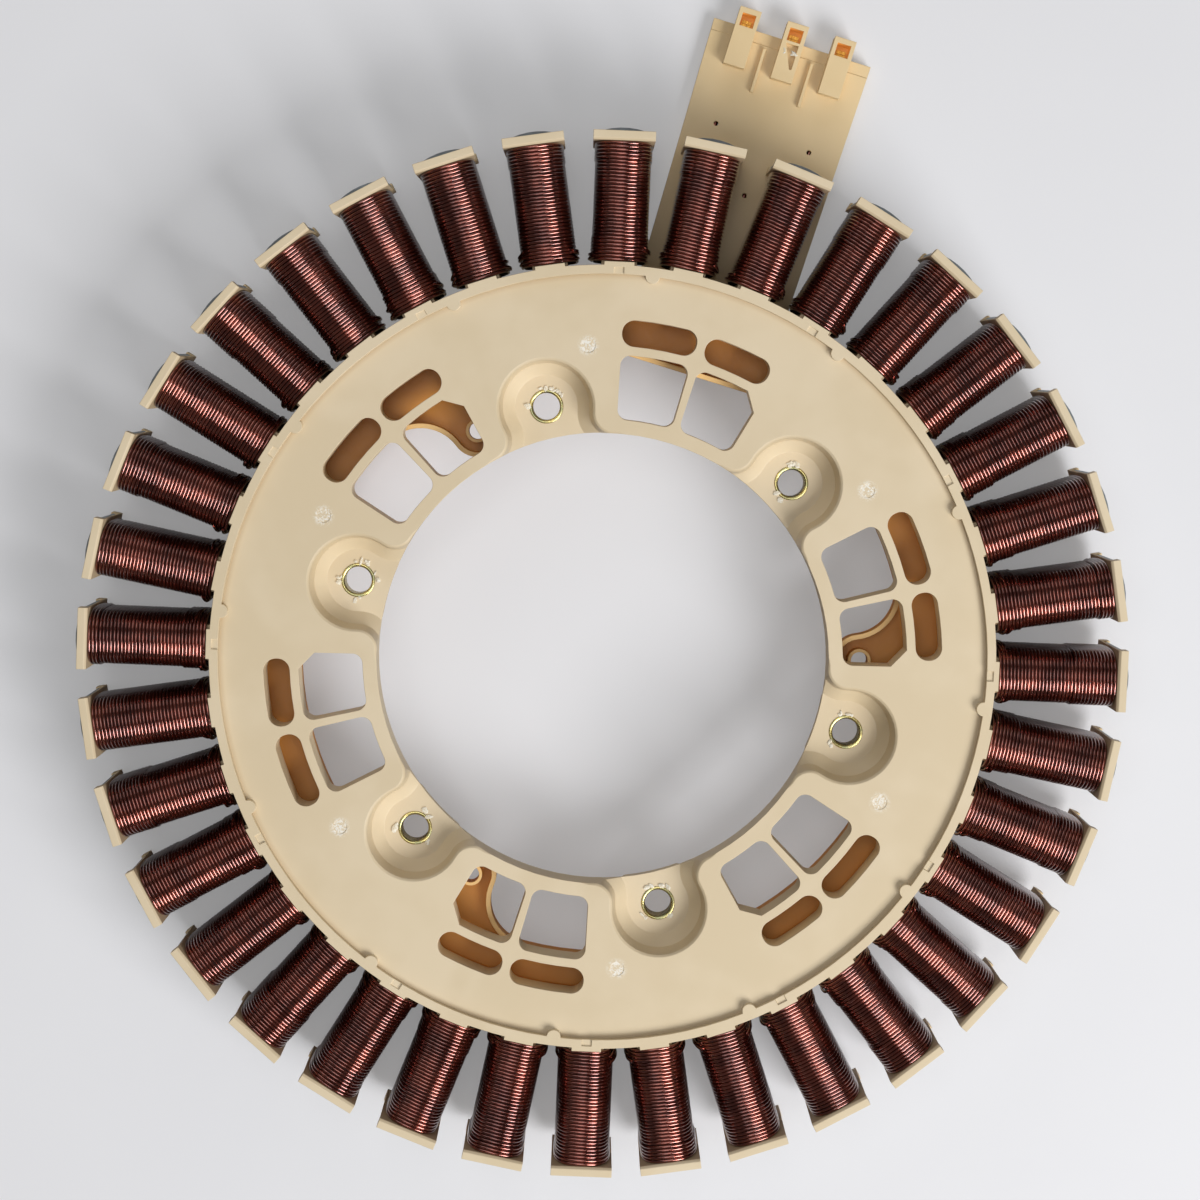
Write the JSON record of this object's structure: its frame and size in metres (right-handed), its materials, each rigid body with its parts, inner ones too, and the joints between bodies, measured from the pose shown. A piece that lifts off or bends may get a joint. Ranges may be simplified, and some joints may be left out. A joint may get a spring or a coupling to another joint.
{
  "type": "motor stator",
  "caption": "Stator of an outer-rotor direct-drive motor: laminated core between two insulating mouldings, a winding on each tooth, bolt bosses and a connector plate.",
  "frame": {"origin": "centre of the bolt circle, on the mounting plane under the boss hubs, halfway up the core", "axes": "+Z along the stator's axis, out of the side with the bosses' recesses; +Y from the axis towards the connector"},
  "size_m": [0.2612, 0.297, 0.038],
  "materials": {
    "upper_moulding": "fine matt moulding",
    "lower_moulding": "fine matt moulding",
    "lamination": "stamped, lightly oiled",
    "winding": "glossy wire enamel",
    "sleeve_steel": "yellow zinc plating",
    "terminal_brass": "tin plated",
    "lead_insulation": "glossy wire enamel"
  },
  "bodies": {
    "root": {"upper_insulator": "upper_moulding", "lower_insulator": "lower_moulding", "stator_core": "lamination", "coil_01": "winding", "coil_02": "winding", "coil_03": "winding", "coil_04": "winding", "coil_05": "winding", "coil_06": "winding", "coil_07": "winding", "coil_08": "winding", "coil_09": "winding", "coil_10": "winding", "coil_11": "winding", "coil_12": "winding", "coil_13": "winding", "coil_14": "winding", "coil_15": "winding", "coil_16": "winding", "coil_17": "winding", "coil_18": "winding", "coil_19": "winding", "coil_20": "winding", "coil_21": "winding", "coil_22": "winding", "coil_23": "winding", "coil_24": "winding", "coil_25": "winding", "coil_26": "winding", "coil_27": "winding", "coil_28": "winding", "coil_29": "winding", "coil_30": "winding", "coil_31": "winding", "coil_32": "winding", "coil_33": "winding", "coil_34": "winding", "coil_35": "winding", "coil_36": "winding", "sleeve_1": "sleeve_steel", "sleeve_2": "sleeve_steel", "sleeve_3": "sleeve_steel", "sleeve_4": "sleeve_steel", "sleeve_5": "sleeve_steel", "sleeve_6": "sleeve_steel", "terminal_u": "terminal_brass", "terminal_v": "terminal_brass", "terminal_w": "terminal_brass", "lead_u": "lead_insulation", "lead_v": "lead_insulation", "lead_w": "lead_insulation", "lead_neutral": "lead_insulation"}
  },
  "joints": []
}
